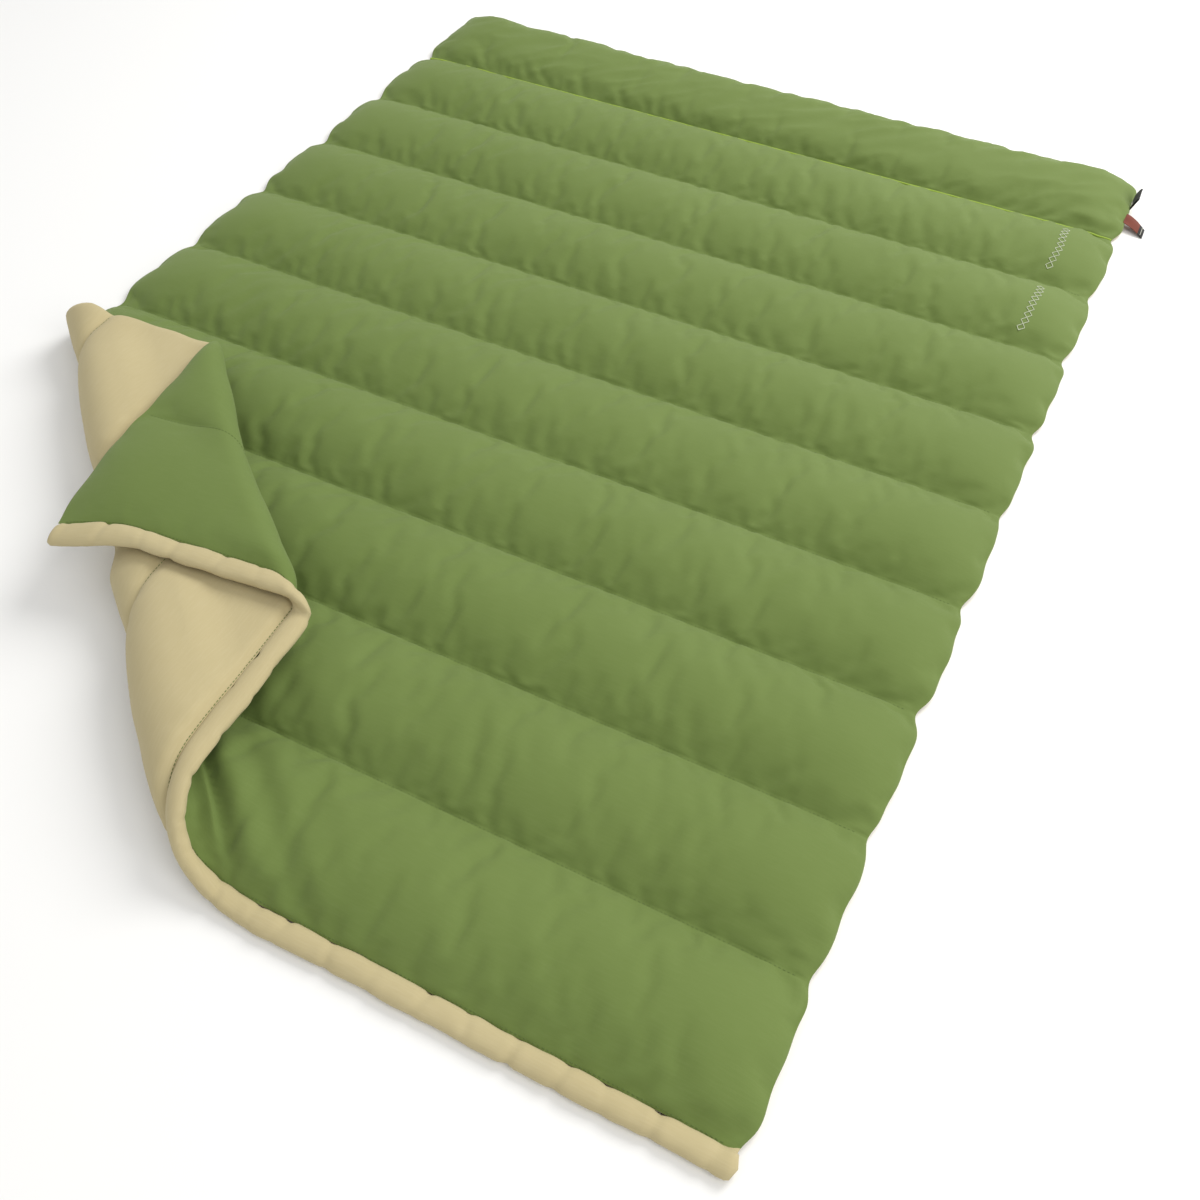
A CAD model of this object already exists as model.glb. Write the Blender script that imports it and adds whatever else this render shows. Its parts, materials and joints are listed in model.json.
import json
import math

import bmesh
import bpy
import numpy as np
from mathutils import Matrix, Vector, noise


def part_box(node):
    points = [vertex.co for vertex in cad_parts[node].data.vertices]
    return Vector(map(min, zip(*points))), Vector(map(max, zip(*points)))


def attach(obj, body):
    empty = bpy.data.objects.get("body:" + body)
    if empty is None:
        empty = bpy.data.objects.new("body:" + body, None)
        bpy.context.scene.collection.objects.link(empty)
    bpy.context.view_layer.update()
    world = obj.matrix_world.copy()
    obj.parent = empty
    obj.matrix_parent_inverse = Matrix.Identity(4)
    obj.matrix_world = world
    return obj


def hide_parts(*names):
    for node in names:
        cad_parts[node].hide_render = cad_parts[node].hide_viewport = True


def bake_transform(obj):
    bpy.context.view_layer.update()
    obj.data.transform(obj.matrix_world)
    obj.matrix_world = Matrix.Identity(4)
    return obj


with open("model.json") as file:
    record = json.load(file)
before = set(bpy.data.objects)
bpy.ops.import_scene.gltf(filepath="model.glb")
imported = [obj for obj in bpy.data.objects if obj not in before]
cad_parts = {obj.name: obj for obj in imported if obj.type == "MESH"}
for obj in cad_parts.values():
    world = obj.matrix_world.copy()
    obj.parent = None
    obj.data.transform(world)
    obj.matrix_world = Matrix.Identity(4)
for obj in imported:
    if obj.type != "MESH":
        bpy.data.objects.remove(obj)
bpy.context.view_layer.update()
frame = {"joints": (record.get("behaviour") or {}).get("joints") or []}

print("frame loaded")

# camera, floor and light
studio = {
    "lens": 36.87,
    "spot": (0.767, -1.387, 1.303),
    "azimuth": 25.8,
    "elevation": 49.8,
    "roll": 1.27,
    "floorSize": 14.0,
    "floorColour": (0.86, 0.86, 0.85),
    "skyColour": (1.0, 1.0, 1.0),
    "skyStrength": 0.62,
}
lamps = {  # where it stands, what it points at, size, power, colour
    "headSoftbox": ((1.5, 3.0, 3.2), (0.1, 0.1, 0.0), 3.0, 170.0, (1.0, 0.99, 0.97)),
    "sideSoftbox": ((3.0, -1.4, 2.6), (0.1, -0.2, 0.0), 2.6, 52.0, (1.0, 0.98, 0.95)),
    "fillSoftbox": ((-3.0, -1.8, 2.4), (-0.2, -0.3, 0.0), 2.8, 12.0, (0.96, 0.98, 1.0)),
}


def makeCamera():
    azimuth, elevation, roll = (math.radians(studio[k]) for k in ("azimuth", "elevation", "roll"))
    right = Vector((math.cos(azimuth), math.sin(azimuth), 0))
    back = Vector((
        math.sin(azimuth) * math.cos(elevation), -math.cos(azimuth) * math.cos(elevation), math.sin(elevation)
    ))
    up = back.cross(right)
    turned = Matrix((
        right * math.cos(roll) + up * math.sin(roll), up * math.cos(roll) - right * math.sin(roll), back
    )).transposed()
    data = bpy.data.cameras.new("quiltCamera")
    data.lens = studio["lens"]
    data.sensor_width = 36
    data.clip_end = 60
    camera = bpy.data.objects.new("quiltCamera", data)
    camera.matrix_world = Matrix.Translation(studio["spot"]) @ turned.to_4x4()
    bpy.context.collection.objects.link(camera)
    bpy.context.scene.camera = camera


def makeLamps():
    for name, (spot, target, size, power, colour) in lamps.items():
        data = bpy.data.lights.new(name, "AREA")
        data.shape = "DISK"
        data.size = size
        data.energy = power
        data.color = colour
        lamp = bpy.data.objects.new(name, data)
        lamp.location = spot
        lamp.rotation_euler = (Vector(target) - Vector(spot)).to_track_quat("-Z", "Y").to_euler()
        bpy.context.collection.objects.link(lamp)
    world = bpy.data.worlds.new("studioSky")
    world.use_nodes = True
    sky = world.node_tree.nodes["Background"]
    sky.inputs["Color"].default_value = (*studio["skyColour"], 1)
    sky.inputs["Strength"].default_value = studio["skyStrength"]
    bpy.context.scene.world = world
    bpy.context.scene.view_settings.view_transform = "Standard"


def makeFloor():
    shape = bmesh.new()
    bmesh.ops.create_grid(shape, x_segments=1, y_segments=1, size=studio["floorSize"] / 2)
    floor = objectFrom(shape, "studioFloor")
    floor.data.materials.append(plainMaterial("paleFloor", studio["floorColour"], 0.9))


# meshes and small helpers
def objectFrom(shape, name):
    mesh = bpy.data.meshes.new(name)
    shape.to_mesh(mesh)
    shape.free()
    mesh.shade_smooth()
    made = bpy.data.objects.new(name, mesh)
    bpy.context.collection.objects.link(made)
    return made


def smoothstep(t):
    t = np.clip(t, 0, 1)
    return t * t * (3 - 2 * t)


def readPoints(vertices):
    flat = np.empty(len(vertices) * 3, np.float64)
    for i, v in enumerate(vertices):
        flat[3 * i : 3 * i + 3] = v.co
    return flat.reshape(-1, 3)


def writePoints(vertices, points):
    for v, p in zip(vertices, points.tolist()):
        v.co = p


def place(piece, body, node=None):
    # tells the frame which body a piece rides on, its material slot and the CAD node that it stands for
    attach(piece, body)
    if node:
        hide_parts(node)


def nodeWidth(node):
    low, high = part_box(node)
    return high.y - low.y


def thicken(piece, thickness):
    modifier = piece.modifiers.new("thickness", "SOLIDIFY")
    modifier.thickness = thickness
    modifier.offset = 0


def bell(distance, width, power=2):
    return np.exp(-((distance / width) ** power))


def softNoise(x, y, scale, seed):
    # smooth random field between about -1 and 1, the same at every run
    return np.array([
        noise.noise(Vector((a * scale, b * scale, seed))) for a, b in zip(x.tolist(), y.tolist())
    ])


# where the seams and creases are
hinges = {j["name"]: j for j in frame["joints"]}
bodyOrder = ["head_panel", "channel_2", "channel_3", "channel_4", "channel_5", "foot_half"]
seamOne = hinges["roll_seam_1"]["pos_m"][1]
pitch = seamOne - hinges["roll_seam_2"]["pos_m"][1]
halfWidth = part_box("outer_shell_1")[1].x
hemLow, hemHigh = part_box("foot_hem")


def seamY(k):
    return seamOne - (k - 1) * pitch


headY = seamY(0)
hemSeamY = seamY(10)
footY = hemLow.y


def creaseFrom(joint, mirrorAbout=None):
    # a crease in the flat quilt: a point on it, its direction, and the direction across it to the corner
    point = np.array(joint["pos_m"][:2])
    along = np.array(joint["axis"][:2])
    along = along / np.linalg.norm(along)
    if mirrorAbout:
        turn = 2 * np.outer(mirrorAbout["along"], mirrorAbout["along"]) - np.eye(2)
        point = mirrorAbout["point"] + turn @ (point - mirrorAbout["point"])
        along = turn @ along
    across = np.array([along[1], -along[0]])
    corner = np.array([-halfWidth, footY])
    if across @ (corner - point) < 0:
        across = -across
    return {"point": point, "along": along, "across": across}


firstCrease = creaseFrom(hinges["corner_fold"])
secondCrease = creaseFrom(hinges["flap_fold"], mirrorAbout=firstCrease)


def creaseCoords(crease, x, y):
    dx, dy = x - crease["point"][0], y - crease["point"][1]
    beyond = dx * crease["across"][0] + dy * crease["across"][1]
    along = dx * crease["along"][0] + dy * crease["along"][1]
    return beyond, along


# the folded corner
fold = {
    "rollHeight": (0.0425, 0.0465),   # half the height of the first crease's roll, at the side and foot edges
    "rollReach": (0.040, 0.058),      # how far the roll bulges outwards, at the same places
    "rollInset": (0.001, 0.030),      # how far inside the crease line the bulge ends
    "creaseLength": 1.068,
    "backHalf": (0.018, 0.045),       # half the cloth that the second crease takes, at its ends and middle
    "backLimit": 0.035,
    "backInset": 0.013,
    "backLength": 0.594,
    "seat": 0.003,                    # half the space between the panel's lining and the flap's
    "innerRadius": 0.010,
    "panelLoft": 0.66,                # how full the folded layers are, compared with the lying ones
    "tautHeight": 0.026,
    "droop": 0.024,                   # how far the free tip of the flap hangs down
    "slide": (0.012, -0.026),         # and how far it lies off its place
    "droopRun": 0.15,
    "droopStart": 0.045,
    "firstZone": 0.096,               # half width of the strips of cloth that take the creases
    "secondZone": 0.096,
    "liningLoop": 0.016,              # how far the lining stands off inside the second crease
    "stepAngle": math.radians(4),
    "loopWidth": 0.034,
    "heldWidth": 0.03,                # strip beside a crease in which the cloth keeps its flat place
}


def alongCrease(name, along):
    near, far = fold[name]
    return near + (far - near) * along / fold["creaseLength"]


def firstRoll(along):
    # height, reach and start of the first crease's roll
    reach = alongCrease("rollReach", along)
    return alongCrease("rollHeight", along), reach, reach + alongCrease("rollInset", along)


def backHalf(along):
    bow = np.sin(math.pi * np.clip(along / fold["backLength"], 0, 1)) ** 0.6
    end, middle = fold["backHalf"]
    return end + (middle - end) * bow


def foldCloth(x, y, h):
    # lays a point of the flat quilt, at height h over its lining, where the folded quilt has it
    seat = fold["seat"]
    beyond, along = creaseCoords(secondCrease, x, y)
    half = backHalf(along)
    angle = np.clip((beyond + half) / (2 * half), 0, 1) * math.pi
    onFlap = beyond > -half
    lift = seat + h
    moved = np.where(onFlap, -half + lift * np.sin(angle) - np.maximum(beyond - half, 0), beyond)
    height = np.where(onFlap, -seat + lift * np.cos(angle), h)
    x = x + (moved - beyond) * secondCrease["across"][0]
    y = y + (moved - beyond) * secondCrease["across"][1]

    beyond, along = creaseCoords(firstCrease, x, y)
    tall, reach, half = firstRoll(along)
    angle = np.clip((beyond + half) / (2 * half), 0, 1) * math.pi
    arm = tall - height
    rolled = np.where(
        beyond < -half, beyond, -half + arm * reach / tall * np.sin(angle) - np.maximum(beyond - half, 0)
    )
    z = np.where(beyond < -half, height, tall - arm * np.cos(angle))
    rolled = np.where(onFlap, -beyond, rolled)
    z = np.where(onFlap, 2 * tall - height, z)
    outside = rolled - (reach - half)
    sag = np.where(onFlap, smoothstep((outside + fold["droopStart"]) / fold["droopRun"]), 0)
    x = x + (rolled - beyond) * firstCrease["across"][0] + fold["slide"][0] * sag
    y = y + (rolled - beyond) * firstCrease["across"][1] + fold["slide"][1] * sag
    return np.stack([x, y, z - fold["droop"] * sag], 1)


press = {  # distances in metres: where each effect starts, and the run over which it grows
    "panelRim": (0.012, 0.045),
    "flapRim": (0.03, 0.05),
    "panelRun": (0.02, 0.10),
    "innerReach": 0.07,
    "creaseReach": 0.105,
    "tautShift": 0.005,
    "tautReach": 0.065,
    "tautShare": 0.85,
    "tautEdge": 0.04,
    "backReach": 0.09,
    "skin": 0.0008,
    "flapHeight": 0.042,      # fullest that the flap may be
    "sharpness": 6,
}


def mirrored(crease, x, y):
    # how far a point lies beyond a crease, and the point on the other side that folds onto it
    beyond, _ = creaseCoords(crease, x, y)
    return beyond, x - 2 * beyond * crease["across"][0], y - 2 * beyond * crease["across"][1]


def coveredByPanel(x, y):
    # 1 on the part of the lying quilt that the turned-back panel rests on, and 0 elsewhere
    beyond, mx, my = mirrored(firstCrease, x, y)
    past, _ = creaseCoords(secondCrease, mx, my)
    inside = np.minimum(np.minimum(mx + halfWidth, my - footY), -fold["backInset"] - past)
    start, run = press["panelRim"]
    return np.where(beyond < 0, smoothstep((inside + start) / run), 1.0)


def offCreases(x, y):
    # 0 on both creases, rising to 1 beside them: the cloth isn't drawn aside where it is cut
    first, _ = creaseCoords(firstCrease, x, y)
    second, _ = creaseCoords(secondCrease, x, y)
    return smoothstep(np.minimum(np.abs(first), np.abs(second)) / fold["heldWidth"])


def underFlap(x, y):
    # 1 on the part of the panel that the flap lies on
    beyond, mx, my = mirrored(secondCrease, x, y)
    start, run = press["flapRim"]
    inside = np.minimum(mx + halfWidth, my - footY)
    return np.where(beyond < 0, smoothstep((inside + start) / run), 1.0)


def pressedHeight(x, y, h):
    # padding gives way where the folded layers press on each other
    beyond, along = creaseCoords(firstCrease, x, y)
    past, _ = creaseCoords(secondCrease, x, y)
    tall, _, _ = firstRoll(along)
    inner = fold["innerRadius"] * bell(beyond, press["innerReach"]) + press["skin"]
    covered = np.maximum(coveredByPanel(x, y), bell(beyond, press["creaseReach"], 8))
    firstLimit = np.where(past > 0, 1 / press["flapHeight"], covered / (tall - inner))
    backLimit = bell(past, press["backReach"], 4) / fold["backLimit"]
    limit = np.maximum(firstLimit, backLimit)
    # a folded layer is flatter than a lying one, and the cloth is taut over the second crease
    start, run = press["panelRun"]
    onPanel = smoothstep((beyond - start) / run)
    h = h - np.maximum(h - quilt["seamHeight"], 0) * (1 - fold["panelLoft"]) * onPanel
    edge = quarterRound(halfWidth - np.abs(x), press["tautEdge"]) * smoothstep((y - hemSeamY) / 0.03)
    taut = bell(past - press["tautShift"], press["tautReach"], 4) * edge
    h = h + np.maximum(fold["tautHeight"] - h, 0) * press["tautShare"] * taut
    power = press["sharpness"]
    return h / (1 + (np.maximum(h, 0) * limit) ** power) ** (1 / power)


# shape of the flat quilt
quilt = {
    "seamHeight": 0.0095,
    "loft": 0.038,
    "headLoft": 0.047,
    "fullness": 0.80,         # under 1 gives rounder crowns than a parabola
    "edgeRun": 0.095,
    "edgeBluntness": 0.72,
    "headRun": 0.060,
    "edgeHeight": 0.011,
    "seamEdgeHeight": 0.006,
    "edgePull": 0.009,        # how far a seam draws the side edge in
    "pullWidth": 0.022,
    "edgeSeamWidth": 0.03,
    "calm": 0.75,
    "calmStart": 0.02,
    "calmRun": 0.1,
    "edgeRipple": 0.0022,
    "edgeInset": 0.001,
    "cornerRound": 0.032,
    "liningTuck": 0.0035,
    "tuckWidth": 0.010,
    "hemJoinWidth": 0.007,
    "liningBulge": 0.012,
    "bulgeRoundness": 0.55,
    "hemJoin": 0.0075,        # height at which shell and lining run into the hem
    "liningRun": 0.015,
    "liningFade": 0.06,       # distance over which the lining's bulges fade in
    "columnStep": 0.0056,
    "rowsPerChannel": 36,
    "edgeColumns": 13,
}


def seamDistance(y):
    offset = (y - hemSeamY) / pitch
    return np.abs(offset - np.round(offset)) * pitch


def seamNearness(y, width):
    # 1 on a seam, falling to 0 a width away from it
    return np.where(y > headY - pitch / 2, bell(y - seamY(1), width), bell(seamDistance(y), width))


def cornerCalm(turned):
    # the turned corner is drawn taut, so that its seams and wrinkles are slighter
    return 1 - quilt["calm"] * smoothstep(turned / quilt["calmRun"])


def edgeX(y, x=0.0):
    turned, _ = creaseCoords(firstCrease, x, y)
    pull = quilt["edgePull"] * seamNearness(y, quilt["pullWidth"]) * cornerCalm(turned)
    ripple = quilt["edgeRipple"] * np.sin(y * 61.0) * np.sin(y * 23.0 + 1.3)
    radius = quilt["cornerRound"]
    short = np.clip(y - (headY - radius), 0, radius)
    corner = radius - np.sqrt(np.maximum(radius**2 - short**2, 0))
    return halfWidth - pull - corner - quilt["edgeInset"] + ripple * (1 - short / radius)


def edgeZ(y, x=0.0):
    turned, _ = creaseCoords(firstCrease, x, y)
    near = seamNearness(y, quilt["edgeSeamWidth"]) * cornerCalm(turned)
    return quilt["edgeHeight"] * (1 - near) + quilt["seamEdgeHeight"] * near


def channelShare(y):
    # how far across its channel a point lies, from 0 at one seam to 1 at the next
    offset = (y - hemSeamY) / pitch
    return offset - np.floor(offset)


def crownHeight(y):
    # height of the shell over the floor along the middle of the quilt, before it is inflated
    base = quilt["seamHeight"]
    share = channelShare(y)
    plain = base + (quilt["loft"] - base) * (4 * share * (1 - share)) ** quilt["fullness"]
    headShare = np.clip((y - seamY(1)) / pitch, 0, 1)
    rise = (np.clip(4 * headShare * (1 - headShare / 2) / 2, 0, 1)) ** 0.6
    head = base + (quilt["headLoft"] - base) * rise
    return np.where(y > seamY(1), head, plain)


def quarterRound(distance, run):
    t = np.clip(1 - distance / run, 0, 1)
    return np.sqrt(np.maximum(1 - t * t, 0))


def edgeTaper(distance):
    # how the padding thins towards a side edge: blunt at the edge itself, then a long slope
    t = np.clip(1 - distance / quilt["edgeRun"], 0, 1)
    return (1 - t * t) ** quilt["edgeBluntness"]


def shellShape(x, y):
    # flat place of a point of the outer shell, with its side edges rounded over
    sideX = edgeX(y, np.sign(x) * halfWidth)
    px = x * sideX / halfWidth
    low = edgeZ(y, np.sign(x) * halfWidth)
    side = edgeTaper(sideX - np.abs(px))
    head = quarterRound(headY - y, quilt["headRun"])
    h = low + (crownHeight(y) - low) * side * head
    return px, y, h


def offBackCrease(x, y):
    # 0 in the strip of cloth that takes the second crease, rising to 1 outside it
    past, _ = creaseCoords(secondCrease, x, y)
    return smoothstep((np.abs(past) - fold["secondZone"]) / quilt["liningFade"])


def liningShape(x, y):
    sideX = edgeX(y, np.sign(x) * halfWidth)
    px = x * sideX / halfWidth
    low = edgeZ(y, np.sign(x) * halfWidth)
    side = quarterRound(sideX - np.abs(px), quilt["liningRun"])
    head = quarterRound(headY - y, quilt["liningRun"])
    rim = low * (1 - side * head)
    tuck = quilt["liningTuck"] * seamNearness(y, quilt["tuckWidth"]) * side
    tuck = tuck + (quilt["hemJoin"] - tuck) * bell(y - hemSeamY, quilt["hemJoinWidth"]) * side
    beyond, along = creaseCoords(firstCrease, px, y)
    free = smoothstep((beyond + firstRoll(along)[2]) / quilt["liningFade"]) * (1 - underFlap(px, y))
    share = channelShare(y)
    bulge = quilt["liningBulge"] * free * (4 * share * (1 - share)) ** quilt["bulgeRoundness"] * side
    bulge = bulge * offBackCrease(px, y)
    past, _ = creaseCoords(secondCrease, x, y)
    loop = fold["liningLoop"] * bell(past, fold["loopWidth"]) * side
    loop = loop * smoothstep((y - hemSeamY) / quilt["liningFade"])
    loop = loop * smoothstep((halfWidth - np.abs(x)) / 0.05)
    px = x + (px - x) * offCreases(x, y)
    return px, y, rim + tuck - bulge + loop


def gridLines(step, rowsPerChannel, edgeColumns):
    # columns and rows of a cloth grid: close together at the rounded edges and at the seams
    run, headRun = quilt["edgeRun"], quilt["headRun"]
    turn = np.linspace(0, math.pi / 2, edgeColumns + 1)
    edge = halfWidth - run * (1 - np.cos(turn))
    inner = np.linspace(-edge[-1], edge[-1], 2 * round(edge[-1] / step) + 1)
    columns = np.concatenate([-edge[:-1], inner, edge[:-1][::-1]])
    v = np.linspace(0, 1, rowsPerChannel + 1)[:-1]
    eased = v - 0.5 * np.sin(2 * math.pi * v) / (2 * math.pi)
    rows = np.concatenate([seamY(k) + pitch * eased for k in range(10, 1, -1)])
    headRows = round(rowsPerChannel * 0.8)
    headPart = seamY(1) + (pitch - headRun) * np.linspace(0, 1, headRows + 1) ** 1.3
    headEdge = headY - headRun * (1 - np.cos(turn))
    rows = np.concatenate([rows, headPart, headEdge[:-1][::-1]])
    return columns, rows


def clothGrid(columns, rows):
    # a flat grid of cloth with its vertices on the given columns and rows
    shape = bmesh.new()
    bmesh.ops.create_grid(shape, x_segments=len(columns) - 1, y_segments=len(rows) - 1, size=1)
    for v in shape.verts:
        i = round((v.co.x + 1) / 2 * (len(columns) - 1))
        j = round((v.co.y + 1) / 2 * (len(rows) - 1))
        v.co = (columns[i], rows[j], 0)
    return shape


# the outer shell, inflated as cloth
cloth = {
    "step": 0.0105,
    "rowsPerChannel": 20,
    "edgeColumns": 7,
    "frames": 20,
    "cap": 0.008,
    "startNoise": 0.0016,
}
clothPhysics = {
    "quality": 4,
    "mass": 0.2,
    "tension_stiffness": 12,
    "compression_stiffness": 12,
    "shear_stiffness": 5,
    "bending_stiffness": 0.25,
    "air_damping": 4,
    "use_pressure": True,
    "uniform_pressure_force": 2.4,
    "shrink_min": -0.014,
    "vertex_group_mass": "sewn",
}


def inflateShell():
    # the shell between its seams, as real cloth under the pressure of the filling
    columns, rows = gridLines(cloth["step"], cloth["rowsPerChannel"], cloth["edgeColumns"])
    shape = clothGrid(columns, rows)
    shape.verts.ensure_lookup_table()
    flat = readPoints(shape.verts)
    px, py, h = shellShape(flat[:, 0], flat[:, 1])
    start = np.stack([px, py, h], 1)
    seams = np.array([seamY(k) for k in range(1, 11)])
    sewn = np.min(np.abs(flat[:, 1:2] - seams[None, :]), axis=1) < 1e-5
    sewn |= np.abs(flat[:, 0]) > halfWidth - 1e-5
    sewn |= flat[:, 1] > headY - 1e-5
    rough = softNoise(flat[:, 0], flat[:, 1], 14, 3.7) + 0.6 * softNoise(flat[:, 0], flat[:, 1], 33, 8.1)
    bumped = start.copy()
    bumped[:, 2] += np.where(sewn, 0, cloth["startNoise"] * rough)
    writePoints(shape.verts, bumped)
    sheet = objectFrom(shape, "inflatedShell")
    group = sheet.vertex_groups.new(name="sewn")
    group.add([int(i) for i in np.nonzero(sewn)[0]], 1.0, "REPLACE")
    modifier = sheet.modifiers.new("shellCloth", "CLOTH")
    for key, value in clothPhysics.items():
        setattr(modifier.settings, key, value)
    modifier.settings.effector_weights.gravity = 0
    modifier.collision_settings.use_collision = False
    modifier.point_cache.frame_start = 1
    modifier.point_cache.frame_end = cloth["frames"]
    for step in range(1, cloth["frames"] + 1):
        bpy.context.scene.frame_set(step)
    done = sheet.evaluated_get(bpy.context.evaluated_depsgraph_get())
    raised = np.empty(len(done.data.vertices) * 3)
    done.data.vertices.foreach_get("co", raised)
    moved = raised.reshape(-1, 3) - start
    length = np.linalg.norm(moved, axis=1)
    print("shell inflated, largest move %.4f" % length.max())
    moved *= (cloth["cap"] * np.tanh(length / cloth["cap"]) / np.maximum(length, 1e-9))[:, None]
    bpy.data.objects.remove(sheet)
    bpy.context.scene.frame_set(1)
    order = np.lexsort((flat[:, 0], flat[:, 1]))
    field = moved[order].reshape(len(rows), len(columns), 3)
    return columns, rows, field


def cubicWeights(t):
    return np.stack([
        -0.5 * t**3 + t**2 - 0.5 * t, 1.5 * t**3 - 2.5 * t**2 + 1,
        -1.5 * t**3 + 2 * t**2 + 0.5 * t, 0.5 * t**3 - 0.5 * t**2
    ])


def sampleField(inflated, x, y):
    # reads the inflated cloth's movement at any flat point, smoothly between its vertices
    columns, rows, field = inflated
    u = np.interp(x, columns, np.arange(len(columns)))
    v = np.interp(y, rows, np.arange(len(rows)))
    i, j = np.floor(u).astype(int), np.floor(v).astype(int)
    wu, wv = cubicWeights(u - i), cubicWeights(v - j)
    total = np.zeros((len(x), 3))
    for a in range(4):
        row = np.clip(j + a - 1, 0, len(rows) - 1)
        for b in range(4):
            column = np.clip(i + b - 1, 0, len(columns) - 1)
            total += (wv[a] * wu[b])[:, None] * field[row, column]
    return total


inflated = inflateShell()


wrinkles = {
    "dent": 0.0018,           # broad unevenness of the filling
    "head": 0.0030,           # creased head panel
    "pucker": 0.0016,         # small gathers along the seams
    "pocket": 0.0075,         # folds inside the open end of the first crease
    "pocketPitch": 0.062,
    "lining": 0.0016,         # unevenness and gathers of the turned-back lining
}


def shellSurface(x, y):
    # the finished outer shell in the flat quilt: plan place and height over the lining
    px, py, h = shellShape(x, y)
    if inflated:
        first, _ = creaseCoords(firstCrease, x, y)
        moved = sampleField(inflated, x, y) * cornerCalm(first + quilt["calmStart"])[:, None]
        px, py, h = px + moved[:, 0], py + moved[:, 1], h + moved[:, 2]
    side = quarterRound(halfWidth - np.abs(x), quilt["edgeRun"])
    head = quarterRound(headY - y, quilt["headRun"])
    inner = (1 - seamNearness(y, 0.030)) * side * head
    inner = np.where(np.abs(y - hemSeamY) < 0.03, inner * smoothstep((y - hemSeamY) / 0.03), inner)
    h = h + wrinkles["dent"] * inner * (softNoise(x, y, 5.5, 1.9) + 0.6 * softNoise(x, y, 13, 6.3))
    # head panel: fine slanting creases
    slant = softNoise(x * 1.5 + y * 3.0, y * 9 - x * 6, 3.2, 12.5)
    onHead = smoothstep((y - seamY(1)) / 0.03) * side * head
    h = h + wrinkles["head"] * onHead * (1 - 2 * np.abs(slant)) * 0.8
    # gathers across the seams
    beat = softNoise(x * 10, np.round((y - hemSeamY) / pitch) * 7.0 + y * 4, 6.5, 4.4)
    near = bell(seamDistance(y) - 0.016, 0.014)
    h = h + wrinkles["pucker"] * near * beat * side * (1.0 + 1.6 * smoothstep((np.abs(x) - 0.55) / 0.15))
    # folds in the open end of the first crease
    beyond, along = creaseCoords(firstCrease, x, y)
    reach = smoothstep((along - 0.68) / 0.22) * bell(beyond + 0.085, 0.085)
    turns = beyond * 2 * math.pi / wrinkles["pocketPitch"]
    ridge = np.sin(turns + 3.0 * (along - 0.9) + 0.8 * softNoise(x, y, 9, 2.2))
    h = h + wrinkles["pocket"] * reach * ridge * inner
    free = offCreases(x, y)
    px, py = x + (px - x) * free, y + (py - y) * free
    return px, py, pressedHeight(px, py, h)


def liningSurface(x, y):
    px, py, h = liningShape(x, y)
    side = quarterRound(halfWidth - np.abs(x), quilt["liningRun"])
    beyond, along = creaseCoords(firstCrease, px, py)
    free = smoothstep((beyond + firstRoll(along)[2]) / quilt["liningFade"]) * side * offBackCrease(px, py)
    between = free * (1 - seamNearness(y, 0.02))
    uneven = softNoise(x, y, 8, 21.0) + 0.6 * softNoise(x, y, 19, 23.0)
    h = h - wrinkles["lining"] * between * uneven
    # gathers along the seams of the turned-back panel
    beat = softNoise(x * 10, np.round((y - hemSeamY) / pitch) * 5.0 + y * 4, 5.5, 14.4)
    near = bell(seamDistance(y) - 0.014, 0.012)
    return px, py, h - wrinkles["lining"] * near * beat * free


# cutting the cloth where bodies meet
def markAttribute(shape, name, values):
    layer = shape.verts.layers.float_vector.new(name)
    for v, value in zip(shape.verts, values.tolist()):
        v[layer] = value


def cutAlong(shape, point, across):
    bmesh.ops.bisect_plane(
        shape, geom=shape.verts[:] + shape.edges[:] + shape.faces[:], dist=0.00015,
        plane_co=(point[0], point[1], 0), plane_no=(across[0], across[1], 0)
    )


def cutCrease(shape, crease, startOffset, endOffset):
    # straight cut beside a crease, startOffset from it at its near end and endOffset at its far end
    a = crease["point"] + crease["across"] * startOffset
    b = crease["point"] + crease["along"] * fold["creaseLength"] + crease["across"] * endOffset
    run = b - a
    cutAlong(shape, a, np.array([run[1], -run[0]]))


def cutSheet(shape):
    for k in range(1, 6):
        cutAlong(shape, (0, seamY(k) - pitch / 2), (0, 1))
    for side in (-1, 1):
        step = side * fold["stepAngle"]
        starts = [2 * firstRoll(along)[2] / math.pi for along in (0, fold["creaseLength"])]
        cutCrease(shape, firstCrease, step * starts[0], step * starts[1])
        cutCrease(shape, secondCrease, step * fold["backLimit"], step * fold["backLimit"])
        cutCrease(shape, firstCrease, side * fold["firstZone"], side * fold["firstZone"])
        cutCrease(shape, secondCrease, side * fold["secondZone"], side * fold["secondZone"])


zoneBody = {"foot": "foot_half", "panel": "corner_panel", "flap": "corner_flap"}
zones = ["head", "2", "3", "4", "5", "foot", "crease", "panel", "back_crease", "flap"]


def zoneOf(x, y):
    first, _ = creaseCoords(firstCrease, x, y)
    second, _ = creaseCoords(secondCrease, x, y)
    if second > fold["secondZone"]:
        return "flap"
    if second > -fold["secondZone"]:
        return "back_crease"
    if first > fold["firstZone"]:
        return "panel"
    if first > -fold["firstZone"]:
        return "crease"
    for k in range(1, 6):
        if y > seamY(k) - pitch / 2:
            return "head" if k == 1 else str(k)
    return "foot"


def attachZone(piece, zone):
    # gives a strip of cloth to its body, or bends it between the two bodies that it joins
    if zone == "crease":
        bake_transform(piece)
    elif zone == "back_crease":
        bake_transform(piece)
    elif zone in zoneBody:
        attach(piece, zoneBody[zone])
    else:
        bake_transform(piece)


def markZones(shape, middleOf):
    layer = shape.faces.layers.int.new("zone")
    for face in shape.faces:
        middle = middleOf(face)
        face[layer] = zones.index(zoneOf(middle.x, middle.y))


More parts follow.
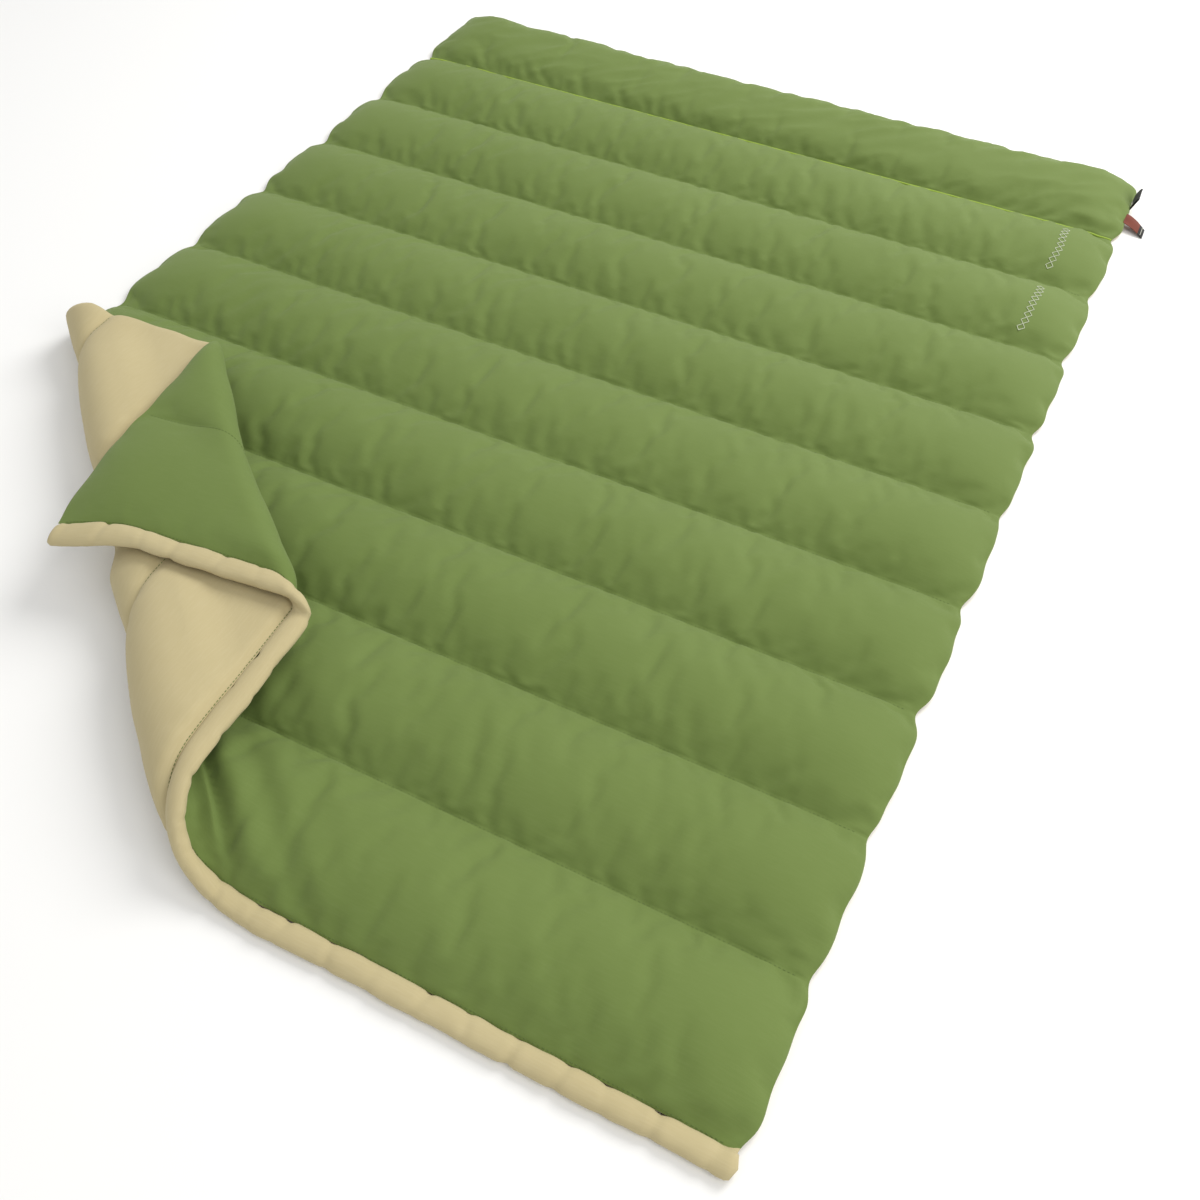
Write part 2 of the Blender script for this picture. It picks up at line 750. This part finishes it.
def splitSheet(shape, name, material):
    # one object for each zone of a cut and folded sheet, with the whole sheet's normals
    shape.normal_update()
    markAttribute(shape, "wholeNormal", np.array([v.normal[:] for v in shape.verts]))
    flatLayer = shape.verts.layers.float_vector["flatPlace"]
    uvLayer = shape.loops.layers.uv.new("clothMap")
    for face in shape.faces:
        for loop in face.loops:
            loop[uvLayer].uv = loop.vert[flatLayer].xy
    if "zone" not in shape.faces.layers.int:
        markZones(shape, lambda face: sum((v[flatLayer] for v in face.verts), Vector()) / len(face.verts))
    made = {}
    for number, zone in enumerate(zones):
        part = shape.copy()
        layer = part.faces.layers.int["zone"]
        bmesh.ops.delete(part, geom=[f for f in part.faces if f[layer] != number], context="FACES")
        if not part.faces:
            part.free()
            continue
        normals = [v[part.verts.layers.float_vector["wholeNormal"]][:] for v in part.verts]
        piece = objectFrom(part, name + "_" + zone)
        piece.data.normals_split_custom_set_from_vertices(normals)
        piece.data.attributes.remove(piece.data.attributes["wholeNormal"])
        piece.data.materials.append(material)
        made[zone] = piece
    shape.free()
    return made


def flatCut(piece, zone):
    # the rectangle that a strip of cloth is cut from, square to its crease if it has one, and its area
    mesh = piece.data
    flat = np.empty(len(mesh.vertices) * 3, np.float32)
    mesh.attributes["flatPlace"].data.foreach_get("vector", flat)
    u, v = flat.reshape(-1, 3)[:, 0], flat.reshape(-1, 3)[:, 1]
    mesh.calc_loop_triangles()
    corners = np.array([t.vertices[:] for t in mesh.loop_triangles])
    a, b, c = (np.stack([u[corners[:, i]], v[corners[:, i]]], 1) for i in range(3))
    first, second = b - a, c - a
    area = float(np.abs(first[:, 0] * second[:, 1] - first[:, 1] * second[:, 0]).sum() / 2)
    if zone in ("crease", "panel", "back_crease"):
        u, v = creaseCoords(secondCrease if zone == "back_crease" else firstCrease, u, v)
    size = (float(np.ptp(u)), float(np.ptp(v)))
    print("%s %.3f by %.3f, %.3f square metres" % (piece.name, *size, area))
    return size, area


def makeSheet(surface, columns, rows, upward):
    shape = clothGrid(columns, rows)
    cutSheet(shape)
    flat = readPoints(shape.verts)
    markAttribute(shape, "flatPlace", flat)
    px, py, h = surface(flat[:, 0], flat[:, 1])
    writePoints(shape.verts, foldCloth(px, py, h))
    if not upward:
        bmesh.ops.reverse_faces(shape, faces=shape.faces[:])
    return shape


# materials
def plainMaterial(name, colour, roughness):
    material = bpy.data.materials.new(name)
    material.use_nodes = True
    shader = material.node_tree.nodes["Principled BSDF"]
    shader.inputs["Base Color"].default_value = (*colour, 1)
    shader.inputs["Roughness"].default_value = roughness
    return material


def linear(r, g, b):
    return tuple(((c / 255 + 0.055) / 1.055) ** 2.4 if c > 10 else c / 255 / 12.92 for c in (r, g, b))


class NodeKit:
    # short calls for building a material's nodes
    def __init__(self, name):
        self.material = bpy.data.materials.new(name)
        self.material.use_nodes = True
        self.tree = self.material.node_tree
        self.shader = self.tree.nodes["Principled BSDF"]

    def add(self, kind, links=(), **values):
        node = self.tree.nodes.new(kind)
        for key, value in values.items():
            setattr(node, key, value)
        for socket, source in dict(links).items():
            if isinstance(source, bpy.types.NodeSocket):
                self.tree.links.new(source, node.inputs[socket])
            else:
                node.inputs[socket].default_value = source
        return node

    def math(self, operation, a, b=0.0):
        return self.add("ShaderNodeMath", {0: a, 1: b}, operation=operation).outputs[0]

    def mix(self, share, a, b):
        return self.add("ShaderNodeMix", {0: share, 6: a, 7: b}, data_type="RGBA").outputs[2]

    def join(self, source, socket):
        self.tree.links.new(source, self.shader.inputs[socket])


fabrics = {
    "shellCloth": {
        "light": linear(109, 128, 66), "dark": linear(97, 116, 54), "worn": linear(121, 137, 82),
        "threads": 1150, "roughness": 0.78, "mottle": 3.0, "sheen": 0.14, "sheenTint": (0.80, 0.90, 0.62),
    },
    "liningCloth": {
        "light": linear(193, 180, 139), "dark": linear(180, 166, 124), "worn": linear(203, 192, 157),
        "threads": 1000, "roughness": 0.85, "mottle": 4.0, "sheen": 0.12, "sheenTint": (1.0, 0.96, 0.86),
    },
}
weaveDepth = 0.00012


def fabricMaterial(name):
    look = fabrics[name]
    kit = NodeKit(name)
    spot = kit.add("ShaderNodeTexCoord").outputs["UV"]
    broad = kit.add("ShaderNodeTexNoise", {"Vector": spot, "Scale": look["mottle"], "Detail": 5.0})
    drawn = kit.add("ShaderNodeMapping", {"Vector": spot, "Scale": (40, 420, 1)})
    slub = kit.add("ShaderNodeTexNoise", {"Vector": drawn.outputs[0], "Scale": 1.0, "Detail": 3.0})
    split = kit.add("ShaderNodeSeparateXYZ", {0: spot})
    warp = kit.math("SINE", kit.math("MULTIPLY", split.outputs[0], look["threads"] * 2 * math.pi))
    weft = kit.math("SINE", kit.math("MULTIPLY", split.outputs[1], look["threads"] * 2 * math.pi))
    weave = kit.math("MULTIPLY", warp, weft)
    tone = kit.mix(broad.outputs["Fac"], (*look["dark"], 1), (*look["light"], 1))
    flecks = kit.math("MULTIPLY", kit.math("SUBTRACT", slub.outputs["Fac"], 0.42), 0.55)
    tone = kit.mix(kit.math("MAXIMUM", flecks, 0.0), tone, (*look["worn"], 1))
    shade = kit.math("MULTIPLY_ADD", weave, 0.03)
    shade.node.inputs[2].default_value = 0.97
    tinted = kit.add("ShaderNodeVectorMath", {0: tone, 1: shade}, operation="MULTIPLY").outputs[0]
    kit.join(tinted, "Base Color")
    rough = kit.add("ShaderNodeMapRange", {"Value": slub.outputs["Fac"], "To Min": look["roughness"] - 0.06,
                                           "To Max": look["roughness"] + 0.06})
    kit.join(rough.outputs[0], "Roughness")
    height = kit.math("ADD", weave, kit.math("MULTIPLY", slub.outputs["Fac"], 1.5))
    bump = kit.add("ShaderNodeBump", {"Height": height, "Strength": 0.35, "Distance": weaveDepth})
    kit.join(bump.outputs[0], "Normal")
    kit.shader.inputs["Sheen Weight"].default_value = look["sheen"]
    kit.shader.inputs["Sheen Roughness"].default_value = 0.5
    kit.shader.inputs["Sheen Tint"].default_value = (*look["sheenTint"], 1)
    kit.shader.inputs["Specular IOR Level"].default_value = 0.25
    return kit.material


def yarnMaterial(name, colour, ribs):
    # spun or woven yarn: fine ribs on the piece, slight variation of tone, a soft sheen
    kit = NodeKit(name)
    spot = kit.add("ShaderNodeTexCoord").outputs["Object"]
    broad = kit.add("ShaderNodeTexNoise", {"Vector": spot, "Scale": 60.0, "Detail": 4.0})
    fine = kit.add("ShaderNodeTexNoise", {"Vector": spot, "Scale": ribs * 1.6, "Detail": 2.0})
    rib = kit.add("ShaderNodeTexWave", {"Vector": spot, "Scale": ribs / 6.28, "Distortion": 2.0})
    dark = tuple(c * 0.72 for c in colour)
    light = tuple(min(1.0, c * 1.22) for c in colour)
    tone = kit.mix(broad.outputs["Fac"], (*dark, 1), (*light, 1))
    share = kit.math("MULTIPLY", rib.outputs["Fac"], 0.35)
    kit.join(kit.mix(share, tone, (*dark, 1)), "Base Color")
    rough = kit.add("ShaderNodeMapRange", {"Value": fine.outputs["Fac"], "To Min": 0.6, "To Max": 0.85})
    kit.join(rough.outputs[0], "Roughness")
    height = kit.math("ADD", rib.outputs["Fac"], fine.outputs["Fac"])
    bump = kit.add("ShaderNodeBump", {"Height": height, "Strength": 0.4, "Distance": 0.0002})
    kit.join(bump.outputs[0], "Normal")
    kit.shader.inputs["Sheen Weight"].default_value = 0.08
    kit.shader.inputs["Specular IOR Level"].default_value = 0.3
    return kit.material


# smaller soft pieces
def threadAlong(name, points, radius, material, sides=3, swell=None):
    # a thread or cord of round section through the given points, thinner where swell is under 1
    line = bpy.data.curves.new(name + "Line", "CURVE")
    line.dimensions = "3D"
    line.bevel_depth = radius
    line.bevel_resolution = sides - 1
    line.use_fill_caps = True
    for run in points:
        spline = line.splines.new("POLY")
        spline.points.add(len(run) - 1)
        for i, (point, where) in enumerate(zip(spline.points, run)):
            point.co = (*where, 1)
            point.radius = swell[i % len(swell)] if swell else 1.0
    rope = bpy.data.objects.new(name + "Line", line)
    bpy.context.collection.objects.link(rope)
    bpy.context.view_layer.update()
    mesh = bpy.data.meshes.new_from_object(rope.evaluated_get(bpy.context.evaluated_depsgraph_get()))
    mesh.name = name
    bpy.data.objects.remove(rope)
    mesh.shade_smooth()
    mesh.materials.clear()
    mesh.materials.append(material)
    made = bpy.data.objects.new(name, mesh)
    bpy.context.collection.objects.link(made)
    return made


hem = {
    "height": 0.0175,
    "columnStep": 0.0045,
    "rings": 20,
    "lumps": 0.13,
    "pinches": 26,
    "pinchDepth": 0.30,
    "pinchWidth": 0.0055,
    "inset": 0.004,
    "endRound": 0.009,
    "slant": 0.004,           # how far a pinch leans over the tube
    "unevenSpacing": 0.02,
}


def makeHem(material):
    # padded hem: a closed tube of lining cloth, lumpy where the filling was caught by the needle
    half = halfWidth - hem["inset"]
    count = round(2 * half / hem["columnStep"])
    shape = bmesh.new()
    bmesh.ops.create_grid(shape, x_segments=count, y_segments=hem["rings"], size=1)
    flat = readPoints(shape.verts)
    x, turn = flat[:, 0] * half, flat[:, 1] * math.pi
    width, height = (hemSeamY - footY) / 2 + 0.0008, hem["height"] / 2
    endRound = quarterRound(half - np.abs(x), hem["endRound"])
    girth = 1 + hem["lumps"] * softNoise(x * 24, np.cos(turn) * 0.9, 1.0, 5.5)
    girth = girth + 0.5 * hem["lumps"] * softNoise(x * 70, np.sin(turn) * 1.8, 1.0, 9.5)
    spots = (np.arange(hem["pinches"]) + 0.5) / hem["pinches"] * 2 * half - half
    spots = spots + hem["unevenSpacing"] * softNoise(spots, spots * 0, 37, 2.5)
    for number, spot in enumerate(spots):
        slant = hem["slant"] * math.sin(number * 2.1) * np.cos(turn)
        upper = 0.5 + 0.5 * np.sin(turn + 0.6 * math.sin(number * 1.7))
        depth = hem["pinchDepth"] * (0.35 + 0.65 * (number * 0.618 % 1))
        girth = girth - depth * upper * bell(x - spot - slant, hem["pinchWidth"])
    y = (hemSeamY + footY) / 2 + width * np.cos(turn) * girth * endRound
    z = height + height * np.sin(turn) * np.where(np.sin(turn) > 0, girth, 1) * endRound
    writePoints(shape.verts, np.stack([x, y, z], 1))
    markAttribute(shape, "flatPlace", np.stack([x, turn * width, 0 * x], 1))
    bmesh.ops.remove_doubles(shape, verts=shape.verts[:], dist=0.00001)
    bmesh.ops.holes_fill(shape, edges=shape.edges[:], sides=hem["rings"] + 1)
    bmesh.ops.recalc_face_normals(shape, faces=shape.faces[:])
    cutSheet(shape)
    markZones(shape, lambda face: face.calc_center_median())
    flat = readPoints(shape.verts)
    writePoints(shape.verts, foldCloth(flat[:, 0], flat[:, 1], flat[:, 2]))
    return splitSheet(shape, "foot_hem_cloth", material)


stitch = {"pitch": 0.0056, "radius": 0.00055, "edge": 0.012, "lift": 0.0002, "dip": 0.0009,
          "hemShift": 0.0022}
stitchShape = ((0.0, 0.25), (0.12, 0.9), (0.58, 0.9), (0.70, 0.25))  # share of the pitch, and swell there


def zoneOfStitch(x, y):
    first, _ = creaseCoords(firstCrease, x, y)
    second, _ = creaseCoords(secondCrease, x, y)
    return "flap" if second > 0 else "panel" if first > 0 else "foot"


def stitchRow(surface, k, upper):
    # the points of one seam's thread: over the cloth for each stitch and down into it between them
    half = halfWidth - stitch["edge"]
    count = int(2 * half / stitch["pitch"])
    starts = -half + np.arange(count) * stitch["pitch"]
    x = (starts[:, None] + stitch["pitch"] * np.array([s for s, _ in stitchShape])[None, :]).ravel()
    y = np.full(len(x), seamY(k) + (stitch["hemShift"] if k == 10 else 0.0))
    px, py, h = surface(x, y)
    side = 1 if upper else -1
    sunk = np.tile([1.0, 0.0, 0.0, 1.0], count)
    places = foldCloth(px, py, h + side * (stitch["lift"] - stitch["dip"] * sunk))
    return x, y, places


def makeStitches(material):
    runsOf = {}
    for surface, upper in ((shellSurface, True), (liningSurface, False)):
        for k in range(2, 11):
            x, y, places = stitchRow(surface, k, upper)
            for i in range(0, len(x), 4):
                name = str(k) if k < 6 else zoneOfStitch(x[i], y[i])
                runs = runsOf.setdefault(name, {})
                runs.setdefault((k, upper), []).extend(places[i : i + 4].tolist())
    swell = [s for _, s in stitchShape]
    return {
        name: threadAlong("stitches_" + name, list(runs.values()), stitch["radius"], material, 2, swell)
        for name, runs in runsOf.items()
    }


padding = {"step": 0.012, "rows": 20, "skin": 0.0012, "share": 0.80, "seamGap": 0.009, "edgeGap": 0.022,
           "creaseGap": 0.052}


def inPadZone(middle, zone, spare):
    first, _ = creaseCoords(firstCrease, middle.x, middle.y)
    second, _ = creaseCoords(secondCrease, middle.x, middle.y)
    if min(abs(first), abs(second)) < spare:
        return False
    return zoneOfStitch(middle.x, middle.y) == zone


def makePad(k, zone, material):
    # one channel's filling, or the part of it that lies in one zone of the folded corner
    half = halfWidth - padding["edgeGap"]
    columns = np.linspace(-half, half, round(2 * half / padding["step"]) + 1)
    top = seamY(k - 1) - (padding["edgeGap"] if k == 1 else padding["seamGap"])
    rows = np.linspace(seamY(k) + padding["seamGap"], top, padding["rows"] + 1)
    shape = clothGrid(columns, rows)
    if k > 6:
        spare = padding["creaseGap"]
        for side in (-1, 1):
            cutCrease(shape, firstCrease, side * spare, side * spare)
            cutCrease(shape, secondCrease, side * spare, side * spare)
        wrong = [f for f in shape.faces if not inPadZone(f.calc_center_median(), zone, spare)]
        bmesh.ops.delete(shape, geom=wrong, context="FACES")
    if not shape.faces:
        shape.free()
        return None
    upperLayer = shape.verts.layers.float.new("upper")
    grown = bmesh.ops.extrude_face_region(shape, geom=shape.faces[:])["geom"]
    for v in grown:
        if isinstance(v, bmesh.types.BMVert):
            v[upperLayer] = 1
    upper = np.array([v[upperLayer] for v in shape.verts]) > 0.5
    flat = readPoints(shape.verts)
    sx, sy, sh = shellSurface(flat[:, 0], flat[:, 1])
    lx, ly, lh = liningSurface(flat[:, 0], flat[:, 1])
    skin, spare = padding["skin"], (1 - padding["share"]) / 2
    low = lh + skin + spare * (sh - lh)
    high = np.maximum(sh - skin - spare * (sh - lh), low + 0.001)
    x, y, h = np.where(upper, sx, lx), np.where(upper, sy, ly), np.where(upper, high, low)
    writePoints(shape.verts, foldCloth(x, y, h))
    bmesh.ops.recalc_face_normals(shape, faces=shape.faces[:])
    pad = objectFrom(shape, "padding_" + {"foot": "", "panel": "panel_", "flap": "flap_"}[zone] + str(k))
    pad.data.materials.append(material)
    return pad


trimThread = 0.0005           # radius of the light thread on the label and the tab
label = {
    "length": 0.043,
    "colourLength": 0.032,
    "thickness": 0.0012,
    "rows": 24,
    "droop": math.radians(17),
    "lean": 0.40,             # towards the foot
    "sewnIn": 0.006,
    "drop": 0.002,
    "curl": 0.0035,
    "ripple": 0.0012,
    "lineAt": 0.0375,         # light line across the dark end
    "lineInset": 0.003,
}


def labelPlace(reach, side):
    # a point of the drooping label, reach from the side edge and side from its middle line
    hinge = hinges["label_swing"]["pos_m"]
    share = reach / label["length"]
    bow = label["curl"] * math.sin(math.pi * share) + label["ripple"] * math.sin(side * 160 + 2 * share)
    x = hinge[0] - label["sewnIn"] + reach * math.cos(label["droop"])
    z = hinge[2] - label["drop"] - reach * math.sin(label["droop"]) + (bow if share > 0.02 else 0)
    return x, hinge[1] + side - label["lean"] * reach, z


def makeLabelStrip(name, start, length, material):
    # a strip of woven label from start to start + length along the drooping direction
    count = max(4, round(length / 0.0015))
    shape = bmesh.new()
    bmesh.ops.create_grid(shape, x_segments=count, y_segments=label["rows"], size=1)
    for v in shape.verts:
        v.co = labelPlace(start + (v.co.x + 1) / 2 * length, v.co.y * nodeWidth("side_label") / 2)
    strip = objectFrom(shape, name)
    strip.data.materials.append(material)
    thicken(strip, label["thickness"])
    soft = strip.modifiers.new("softEdge", "BEVEL")
    soft.width = 0.0003
    soft.segments = 2
    soft.limit_method = "ANGLE"
    return strip


def makeLabelLine(material):
    # plain light line woven across the dark end of the label
    half = nodeWidth("side_label") / 2 - label["lineInset"]
    lift = label["thickness"] / 2
    run = []
    for side in np.linspace(-half, half, 30).tolist():
        x, y, z = labelPlace(label["lineAt"], side)
        run.append((x + lift * math.sin(label["droop"]), y, z + lift * math.cos(label["droop"])))
    return threadAlong("side_label_line", [run], trimThread, material)


tab = {
    "length": 0.024,
    "loop": 0.0013,           # radius of the fold at its end
    "thickness": 0.0009,
    "rise": math.radians(68),
    "lean": 0.15,             # towards the head
    "sewnIn": 0.005,
    "drop": 0.002,
    "pinch": 0.008,           # length over which the seam presses the two plies together
    "bow": 0.0014,
    "stitchAt": 0.007,
    "stitchLength": 0.006,
    "stitchRows": (-0.0165, -0.0140),
}


def tabDirections():
    # outwards along the tab, and square to its face
    c, s = math.cos(tab["rise"]), math.sin(tab["rise"])
    return Vector((c, 0, s)), Vector((-s, 0, c))


def tabPlace(reach, side):
    # a point on the middle of the tape, reach along it from one sewn end
    hinge = hinges["tab_bend"]["pos_m"]
    straight, loop = tab["length"] - tab["loop"], tab["loop"]
    bend = math.pi * loop
    if reach < straight:
        along, across = reach, -loop
    elif reach < straight + bend:
        angle = (reach - straight) / loop
        along, across = straight + loop * math.sin(angle), -loop * math.cos(angle)
    else:
        along, across = 2 * straight + bend - reach, loop
    across *= 0.35 + 0.65 * min(1, along / tab["pinch"])
    across += tab["bow"] * math.sin(along / tab["length"] * 2.6) * (1 + 0.5 * math.sin(side * 90))
    out, over = tabDirections()
    start = (hinge[0] - tab["sewnIn"], hinge[1] + side + tab["lean"] * along, hinge[2] - tab["drop"])
    return Vector(start) + out * along + over * across


def tapeLength():
    return 2 * (tab["length"] - tab["loop"]) + math.pi * tab["loop"]


def makeTab(material):
    # one strip of black tape folded into a flat loop, sewn in by both ends
    shape = bmesh.new()
    bmesh.ops.create_grid(shape, x_segments=56, y_segments=20, size=1)
    for v in shape.verts:
        v.co = tabPlace((v.co.x + 1) / 2 * tapeLength(), v.co.y * nodeWidth("side_tab") / 2)
    loopTab = objectFrom(shape, "side_tab_tape")
    loopTab.data.materials.append(material)
    thicken(loopTab, tab["thickness"])
    return loopTab


def makeTabStitches(material):
    # light stitches through the tape, one pair on each side of the tab
    _, over = tabDirections()
    lift = tab["thickness"] / 2 + 0.0003
    runs = []
    for reach, way in ((tab["stitchAt"], -1), (tapeLength() - tab["stitchAt"], 1)):
        for side in tab["stitchRows"]:
            steps = np.linspace(-0.5, 0.5, 5).tolist()
            runs.append([
                tabPlace(reach + tab["stitchLength"] * step, side) + over * way * lift for step in steps
            ])
    return threadAlong("side_tab_stitches", runs, trimThread, material)


motif = {"x": 0.659, "middle": 0.44, "length": 0.127, "swing": 0.0065, "wave": 0.0140, "radius": 0.0007,
         "lift": 0.0004}


def makeMotif(k, material):
    # plain embroidery: a chain of small diamonds
    middle = seamY(k) + pitch * motif["middle"]
    count = int(motif["length"] / motif["wave"])
    y = middle + np.linspace(-0.5, 0.5, count * 8 + 1) * count * motif["wave"]
    phase = (y - y[0]) / motif["wave"]
    swing = motif["swing"] * 2 * np.abs(phase - np.floor(phase + 0.5))
    runs = []
    for x in (motif["x"] + swing, motif["x"] - swing):
        px, py, h = shellSurface(x, y)
        runs.append(foldCloth(px, py, h + motif["lift"]).tolist())
    return threadAlong("embroidery_%d" % k, runs, motif["radius"], material)


piping = {"radius": 0.0019, "under": 0.0012, "lift": 0.0014, "ripple": 0.0006, "points": 340}


def makePiping(material):
    # lime piping in the seam under the head panel's overhang
    half = halfWidth - quilt["edgeInset"]
    x = np.linspace(-half, half, piping["points"])
    px, py, h = shellSurface(x, np.full(len(x), seamY(1)))
    wave = piping["ripple"] * np.sin(x * 47) * np.sin(x * 19 + 0.7)
    line = np.stack([px, py - piping["under"] + wave, h + piping["lift"]], 1)
    return threadAlong("head_piping_cord", [line.tolist()], piping["radius"], material, sides=4)


# making everything
makeCamera()
makeLamps()
makeFloor()
shellMaterial = fabricMaterial("shellCloth")
liningMaterial = fabricMaterial("liningCloth")
threadMaterial = yarnMaterial("quiltingThread", linear(96, 116, 58), 900)
embroideryMaterial = yarnMaterial("embroideryThread", linear(188, 196, 168), 900)
pipingMaterial = yarnMaterial("limePiping", linear(152, 178, 66), 500)
paddingMaterial = yarnMaterial("hollowFibre", linear(238, 238, 232), 160)
labelMaterial = yarnMaterial("rustLabel", linear(112, 46, 26), 700)
bandMaterial = yarnMaterial("blackBand", linear(25, 25, 23), 700)
tapeMaterial = yarnMaterial("blackTape", linear(26, 27, 24), 420)
lightThreadMaterial = yarnMaterial("lightThread", linear(205, 205, 190), 900)

columns, rows = gridLines(quilt["columnStep"], quilt["rowsPerChannel"], quilt["edgeColumns"])
shellPieces = splitSheet(makeSheet(shellSurface, columns, rows, True), "outer_shell_cloth", shellMaterial)
print("outer shell made")
liningPieces = splitSheet(makeSheet(liningSurface, columns, rows, False), "lining_cloth", liningMaterial)
print("lining made")
hemPieces = makeHem(liningMaterial)
print("hem made")

hemNodeOf = {"foot": "", "panel": "_panel", "flap": "_flap"}
nodeOf = hemNodeOf | {"head": "_1", "2": "_2", "3": "_3", "4": "_4", "5": "_5", "foot": "_foot"}
for pieces, stem, slot in (
    (shellPieces, "outer_shell", "shell_cloth"), (liningPieces, "lining", "lining_cloth"),
    (hemPieces, "foot_hem", "lining_cloth")
):
    names = hemNodeOf if stem == "foot_hem" else nodeOf
    for zone, piece in pieces.items():
        attachZone(piece, zone)
        if zone in names:
            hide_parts(stem + names[zone])
        if stem == "foot_hem":
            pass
        else:
            size, area = flatCut(piece, zone)

for name, piece in makeStitches(threadMaterial).items():
    body = bodyOrder[int(name) - 1] if name.isdigit() else zoneBody[name]
    place(piece, body, "quilting_thread_" + name)
print("stitches made")

firstChannel = {"foot": 1, "panel": 7, "flap": 9}
for k in range(1, 11):
    for zone, body in zoneBody.items():
        if k >= firstChannel[zone]:
            pad = makePad(k, zone, paddingMaterial)
            node = pad.name.replace("padding", "batting")
            place(pad, bodyOrder[k - 1] if k < 6 else body, node)
print("padding made")

place(makePiping(pipingMaterial), "head_panel", "head_piping")

endLength = label["length"] - label["colourLength"]
labelTop = makeLabelStrip("side_label_weave", 0, label["colourLength"], labelMaterial)
labelEnd = makeLabelStrip("side_label_end", label["colourLength"], endLength, bandMaterial)
labelLine = makeLabelLine(lightThreadMaterial)
place(labelTop, "label", "side_label")
place(labelEnd, "label", "side_label_band")
place(labelLine, "label")

tabLoop = makeTab(tapeMaterial)
tabStitches = makeTabStitches(lightThreadMaterial)
place(tabLoop, "tab", "side_tab")
place(tabStitches, "tab")

for k in (2, 3):
    place(makeMotif(k, embroideryMaterial), "channel_%d" % k)
print("trim made")
